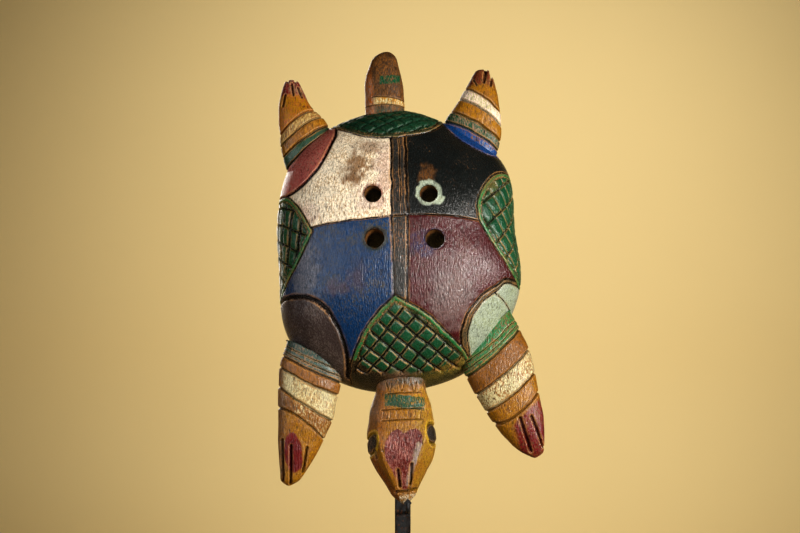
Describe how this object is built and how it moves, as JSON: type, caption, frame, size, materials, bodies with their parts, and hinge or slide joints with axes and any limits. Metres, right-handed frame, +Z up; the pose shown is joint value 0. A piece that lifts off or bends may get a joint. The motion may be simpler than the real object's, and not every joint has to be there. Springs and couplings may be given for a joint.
{
  "type": "turtle mask on a display stand",
  "caption": "Carved and painted wooden turtle mask with round sight holes, hung head down on a steel display stand with a chin prong.",
  "frame": {"origin": "middle of the underside of the stand's felt, where the object rests", "axes": "+Z up; the mask faces -Y; +X to the right of someone facing the mask"},
  "size_m": [0.2765, 0.13, 0.576],
  "materials": {
    "painted_shell": "waxed paint",
    "painted_limbs": "waxed paint",
    "bare_wood": "bare",
    "plain_steel": "plain",
    "dark_iron": "dark, waxed, with rust spots",
    "felt": "felt"
  },
  "bodies": {
    "stand": {"base_plate": "dark_iron", "base_felt": "felt", "post": "dark_iron", "post_screw": "plain_steel", "hanger_rod": "dark_iron", "chin_prong": "dark_iron"},
    "mask": {"carapace": "painted_shell", "head": "painted_limbs", "tail": "painted_limbs", "front_left_leg": "painted_limbs", "front_right_leg": "painted_limbs", "rear_left_leg": "painted_limbs", "rear_right_leg": "painted_limbs", "neck_dowels": "bare_wood", "tail_dowels": "bare_wood", "leg_dowels": "bare_wood", "hanging_eye": "plain_steel"}
  },
  "joints": [
    {"name": "mask_lift_off", "type": "slide", "parent": "stand", "child": "mask", "axis": [0, 0, 1], "range_m": [0, 0.42]}
  ]
}
